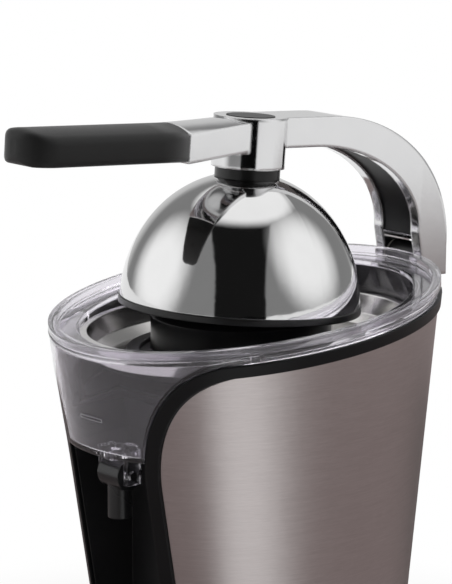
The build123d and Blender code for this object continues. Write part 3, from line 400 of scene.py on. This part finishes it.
def round_in(reach, radius):
    """How far a rounded end has drawn in at a distance from its tip."""
    return radius - math.sqrt(max(0.0, radius ** 2 - max(0.0, radius - reach) ** 2))


def grip_ring(reach):
    """Section of the grip at a distance from its end."""
    half = GRIP_HALF_WIDTH - round_in(reach, GRIP_CORNER)
    draw = round_in(reach, GRIP_END_EDGE)
    edge = min(GRIP_EDGE, GRIP_EDGE_SHARE * half)
    flat = half - edge
    low = GRIP_UNDERSIDE + draw
    shoulder = grip_top(half) - draw
    ledge = grip_top(flat) - draw
    side = curved((flat, low), (half, low), (half, low + edge), GRIP_EDGE_STEPS)
    side += curved((half, shoulder - edge), (half, shoulder), (flat, ledge), GRIP_EDGE_STEPS)
    side += [(flat * share, grip_top(flat * share) - draw) for share in GRIP_TOP_SHARES]
    left = [(-x, z) for x, z in reversed(side[:-1])]
    y = GRIP_END_Y + SPINDLE_Y + reach
    return [RAISED @ Vector((x, y, z)) for x, z in side + left]


corner_step = (90.0 - GRIP_CORNER_START) / GRIP_CORNER_STEPS
corner_turns = [math.radians(GRIP_CORNER_START + corner_step * i) for i in range(GRIP_CORNER_STEPS)]
reaches = [GRIP_CORNER * (1 - math.cos(turn)) for turn in corner_turns]
reaches += [GRIP_CORNER, 0.03, 0.05, 0.07, GRIP_START_Y - GRIP_END_Y]
rings = [grip_ring(reach) for reach in reaches]
grip_points = [point for ring in rings for point in ring]
count = len(rings[0])
grip_faces = []
for k in range(len(rings) - 1):
    this_ring = count * k
    next_ring = this_ring + count
    for i in range(count):
        after = (i + 1) % count
        grip_faces.append((this_ring + i, next_ring + i, next_ring + after, this_ring + after))
grip_faces.append(list(range(count)))
grip_faces.append(list(reversed(range(len(grip_points) - count, len(grip_points)))))
grip = smooth_piece("grip_sleeve", grip_points, grip_faces, "arm")
charcoal = moulded("grip_charcoal", dark=(0.012, 0.012, 0.012), light=(0.019, 0.019, 0.019), rough=0.5,
                   grain=0.00004, grain_scale=2600.0, shine=0.25)
charcoal.shader.inputs["Sheen Weight"].default_value = 0.4
charcoal.shader.inputs["Sheen Roughness"].default_value = 0.35
charcoal.on(grip)
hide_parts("grip")

# Dome.
# It is spun from stainless steel and mirror polished; its black liner ends in a ring at
# the rim, and a black collar sits between it and the boss.
dome = Finish("dome_steel", metallic=1.0)
dome_cloud = dome.noise(scale=90.0, detail=3.0)
dome.colour(dome.tint(dome_cloud, low=(0.66, 0.66, 0.66), high=(0.7, 0.7, 0.7)))
dome.rough(0.045 + 0.03 * dome_cloud)
dome.relief(dome_cloud, depth=0.000004, edge=0.0005)
dome.on("dome_shell")
liner_black = moulded("liner_black", dark=(0.008, 0.008, 0.008), light=(0.013, 0.013, 0.013), rough=0.3,
                      grain=0.00001)
liner_black.on("dome_liner", "dome_collar")

# Camera.
# A long lens stands to the front right of the juicer, a little above it.
SPINDLE = Vector((0.0, SPINDLE_Y, 0.207))
UPWARD = Vector((0.0, 0.0, 1.0))
AZIMUTH = math.radians(48.243)
ELEVATION = math.radians(12.107)
DISTANCE = 1.356782
OFF_RIGHT = -0.006796
OFF_UP = 0.002201
SENSOR = 36.0
FOCAL_IN_PIXELS = 3000.0
FRAME_HEIGHT = 584.0
right = Vector((math.cos(AZIMUTH), math.sin(AZIMUTH), 0.0))
ahead = Vector((math.sin(AZIMUTH), -math.cos(AZIMUTH), 0.0))
back = math.cos(ELEVATION) * ahead + math.sin(ELEVATION) * UPWARD
up = back.cross(right)
lens = bpy.data.cameras.new("camera")
lens.sensor_width = SENSOR
lens.lens = SENSOR * FOCAL_IN_PIXELS / FRAME_HEIGHT
camera = bpy.data.objects.new("camera", lens)
camera.matrix_world = Matrix((right, up, back)).transposed().to_4x4()
camera.location = SPINDLE + OFF_RIGHT * right + OFF_UP * up + DISTANCE * back
bpy.context.scene.collection.objects.link(camera)
bpy.context.scene.camera = camera

# Floor.
# A white paper sweep, which the camera, the metal and the clear plastic see as plain white
# and which keeps the shadow of the juicer near its foot.
FLOOR_HALF = 4.0
FLOOR_CORNERS = ((-1.0, -1.0), (1.0, -1.0), (1.0, 1.0), (-1.0, 1.0))
SHADOW_NEAR = 0.14
SHADOW_FAR = 0.3


def flat_piece(name, points):
    """Flat stage piece from its corners."""
    mesh = bpy.data.meshes.new(name)
    mesh.from_pydata(points, [], [range(len(points))])
    made = bpy.data.objects.new(name, mesh)
    bpy.context.scene.collection.objects.link(made)
    return made


def ramp(shading, value, low, high):
    """Smooth step from 0 to 1 between two values."""
    sockets = {"Value": value, "From Min": low, "From Max": high}
    return shading.node("ShaderNodeMapRange", {"interpolation_type": "SMOOTHSTEP"}, sockets)


def ray_kind(shading, kind):
    """1 for rays of one kind, 0 for the others."""
    return shading.node("ShaderNodeLightPath", {}, {}, f"Is {kind} Ray")


floor = flat_piece("floor", [(FLOOR_HALF * x, FLOOR_HALF * y, 0.0) for x, y in FLOOR_CORNERS])
paper = Finish("paper_white", roughness=0.9, base_color=(0.9, 0.9, 0.9, 1.0))
glow = paper.node("ShaderNodeEmission", {}, {"Strength": 1.0})
from_foot = paper.node("ShaderNodeVectorMath", {"operation": "LENGTH"}, {0: paper.place()}, "Value")
plain = 0.55 + 0.45 * ramp(paper, from_foot, SHADOW_NEAR, SHADOW_FAR)
direct = ray_kind(paper, "Camera") + ray_kind(paper, "Glossy") + ray_kind(paper, "Transmission")
glow_share = plain * direct.maths("MINIMUM", direct, 1.0)
lit = Value(paper.tree, paper.shader.outputs[0])
sheet = paper.node("ShaderNodeMixShader", {}, {0: glow_share, 1: lit, 2: glow})
join(paper.tree, paper.tree.nodes["Material Output"].inputs["Surface"], sheet)
paper.on(floor)

# Studio.
# The room is white for the camera, and behind the juicer for the clear plastic. Polished metal
# sees a dim room with a soft box on each side, one above the rear and a dark screen in front.
DARK_HALF_TURN = 24.0
SCREEN_SOFTNESS = 0.02
SCREEN_LEVEL = 0.01
DIM_LEVEL = 0.26
FILL_LEVEL = 0.25
BACKDROP_FULL = -0.35
BACKDROP_END = -0.05


def around(turn, rise):
    """Direction at an angle to the right of the camera's and above the horizon, in degrees."""
    turn, rise = math.radians(turn), math.radians(rise)
    level = math.cos(turn) * ahead + math.sin(turn) * right
    return math.cos(rise) * level + math.sin(rise) * UPWARD


world = bpy.data.worlds.new("studio")
bpy.context.scene.world = world
world.use_nodes = True
studio = Shading(world.node_tree)
gaze = studio.node("ShaderNodeTexCoord", {}, {}, "Generated")


def toward(direction):
    """Cosine of the angle between the gaze and a direction."""
    sockets = {0: gaze, 1: direction}
    return studio.node("ShaderNodeVectorMath", {"operation": "DOT_PRODUCT"}, sockets, "Value")


def soft_spot(turn, rise, inner, outer):
    """1 towards a soft box, falling to 0 between two angles from its middle."""
    edge, full = math.cos(math.radians(outer)), math.cos(math.radians(inner))
    return ramp(studio, toward(around(turn, rise)), edge, full)


front = toward(ahead)
side = toward(right)
beside = side.maths("ABSOLUTE", side) - math.sin(math.radians(DARK_HALF_TURN))
off_screen = beside.maths("MAXIMUM", beside, 0.0 - front)
dim_room = SCREEN_LEVEL + DIM_LEVEL * ramp(studio, off_screen, -SCREEN_SOFTNESS, SCREEN_SOFTNESS)
left_box = 0.95 * soft_spot(turn=-94.0, rise=18.0, inner=13.0, outer=42.0)
right_box = 0.9 * soft_spot(turn=82.0, rise=29.0, inner=12.0, outer=43.0)
upper_box = 1.15 * soft_spot(turn=175.0, rise=70.0, inner=26.0, outer=38.0)
rear_glow = 0.4 * soft_spot(turn=180.0, rise=-4.0, inner=20.0, outer=40.0)
sides = dim_room + left_box + right_box
mirrored = sides.maths("MAXIMUM", sides, upper_box) + rear_glow
backdrop = 1.0 - ramp(studio, front, BACKDROP_FULL, BACKDROP_END)
seen_through = mirrored + (1.0 - mirrored) * backdrop
plain_room = FILL_LEVEL + (1.0 - FILL_LEVEL) * ray_kind(studio, "Camera")
glossy = ray_kind(studio, "Glossy")
through = ray_kind(studio, "Transmission")
reflected = glossy * mirrored + (1.0 - glossy) * plain_room
room = through * seen_through + (1.0 - through) * reflected
sky = world.node_tree.nodes["Background"]
sky.inputs["Color"].default_value = (1.0, 1.0, 1.0, 1.0)
join(world.node_tree, sky.inputs["Strength"], room)

# Lamps and cards.
# Two large soft boxes light the object from the sides and one from above; cards on the
# floor, which only reflections see, shade the steel wrap and the front of the dome.
CARD_TAUPE = (0.36, 0.3, 0.295, 1.0)
CARD_BROWN = (0.16, 0.14, 0.135, 1.0)
CARD_BLACK = (0.01, 0.01, 0.01, 1.0)
CARD_STEPS = 16


def softbox(name, turn, rise, away, width, height, level):
    """Rectangular lamp that faces the spindle; level is how bright its face is."""
    lamp = bpy.data.lights.new(name, "AREA")
    lamp.shape = "RECTANGLE"
    lamp.size = width
    lamp.size_y = height
    lamp.energy = level * math.pi * width * height
    place = Matrix.Translation(SPINDLE + away * around(turn, rise))
    made = bpy.data.objects.new(name, lamp)
    made.matrix_world = place @ around(turn, rise).to_track_quat("Z", "Y").to_matrix().to_4x4()
    made.visible_camera = False
    made.visible_glossy = False
    bpy.context.scene.collection.objects.link(made)


softbox("softbox_left", turn=-80.0, rise=20.0, away=1.6, width=1.8, height=1.4, level=0.5)
softbox("softbox_right", turn=72.0, rise=24.0, away=1.6, width=1.8, height=1.4, level=0.35)
softbox("softbox_above", turn=150.0, rise=72.0, away=1.5, width=1.4, height=1.4, level=2.4)


def floor_card(name, shade, first, last, near, far,
               fade_turn=1.0, fade_reach=0.05, lift=0.001, shine=0.5):
    """Sector of floor between two angles and two distances, which only reflections see.

    It fades in from its first angle and fades out towards its far edge.
    """
    headings = [around(first + (last - first) * i / CARD_STEPS, 0.0) for i in range(CARD_STEPS + 1)]
    spots = [near * heading for heading in headings]
    spots += [far * heading for heading in reversed(headings)]
    made = flat_piece(name, [(spot.x, spot.y + SPINDLE_Y, lift) for spot in spots])
    made.visible_camera = False
    made.visible_diffuse = False
    made.visible_shadow = False
    made.visible_transmission = False
    card = Finish(name, roughness=0.9, base_color=shade, specular_ior_level=shine)
    here = card.place()
    reach = card.node("ShaderNodeVectorMath", {"operation": "LENGTH"}, {0: here}, "Value")
    heading = card.node("ShaderNodeVectorMath", {"operation": "NORMALIZE"}, {0: here})
    sockets = {0: heading, 1: around(first + 90.0, 0.0)}
    past_first = card.node("ShaderNodeVectorMath", {"operation": "DOT_PRODUCT"}, sockets, "Value")
    fade_in = ramp(card, past_first, 0.0, math.sin(math.radians(fade_turn)))
    fade_out = ramp(card, reach, far - fade_reach, far)
    join(card.tree, card.shader.inputs["Alpha"], fade_in * (1.0 - fade_out))
    card.on(made)


floor_card("card_right", CARD_TAUPE, first=22.0, last=165.0, near=0.1, far=1.7,
           fade_turn=30.0, fade_reach=0.8)
floor_card("card_rear", CARD_BROWN, first=105.0, last=178.0, near=0.1, far=0.65,
           fade_turn=45.0, lift=0.002)
floor_card("card_left", CARD_TAUPE, first=-165.0, last=0.0, near=0.1, far=0.65)
floor_card("card_front", CARD_BLACK, first=-DARK_HALF_TURN, last=DARK_HALF_TURN, near=0.75, far=6.0,
           shine=0.0)

bpy.context.scene.view_settings.view_transform = "Standard"
